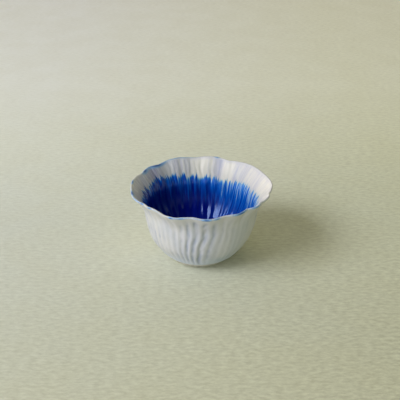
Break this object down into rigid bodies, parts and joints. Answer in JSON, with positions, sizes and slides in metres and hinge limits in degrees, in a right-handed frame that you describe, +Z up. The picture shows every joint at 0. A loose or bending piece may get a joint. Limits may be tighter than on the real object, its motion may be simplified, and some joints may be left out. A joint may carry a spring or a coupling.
{
  "type": "snack bowl",
  "caption": "Small fluted porcelain snack bowl with a flared petal rim, a low foot ring and a cobalt glaze coat in its well, for serving small dishes.",
  "frame": {"origin": "middle of the rim's outline, projected on the plane that the foot stands on", "axes": "+Z up out of the mouth, -Y the front, +X to the right of the front"},
  "size_m": [0.1212, 0.1211, 0.0655],
  "materials": {
    "white_glaze": "clear gloss glaze over white porcelain",
    "bare_clay": "unglazed foot, fine and matt",
    "cobalt_glaze": "gloss cobalt glaze with brushed streaks"
  },
  "bodies": {
    "root": {"bowl_body": "white_glaze", "foot_ring": "bare_clay", "inner_glaze": "cobalt_glaze"}
  },
  "joints": []
}
